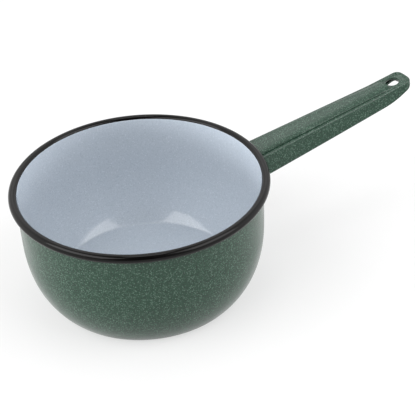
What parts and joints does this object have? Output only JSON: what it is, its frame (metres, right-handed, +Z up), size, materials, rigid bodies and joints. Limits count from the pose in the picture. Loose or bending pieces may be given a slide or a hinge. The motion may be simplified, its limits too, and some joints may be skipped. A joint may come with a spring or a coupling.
{
  "type": "enamel saucepan",
  "caption": "Round enamelled steel saucepan with a full curved wall, a black rolled rim and a long welded channel handle with a teardrop hanging hole.",
  "frame": {"origin": "middle of the underside of the flat base, on the surface that the pan stands on", "axes": "+Z up along the bowl's axis, +X along the handle from the bowl to its tip, +Y to the left of the handle"},
  "size_m": [0.2994, 0.17, 0.0927],
  "materials": {
    "bare_steel": "satin",
    "green_enamel": "gloss",
    "grey_enamel": "gloss",
    "black_enamel": "gloss"
  },
  "bodies": {
    "root": {"steel_bowl": "bare_steel", "inner_enamel": "grey_enamel", "rim_enamel": "black_enamel", "outer_enamel": "green_enamel", "handle_channel": "green_enamel", "root_weld_left": "green_enamel", "root_weld_right": "green_enamel", "root_weld_inside": "green_enamel"}
  },
  "joints": []
}
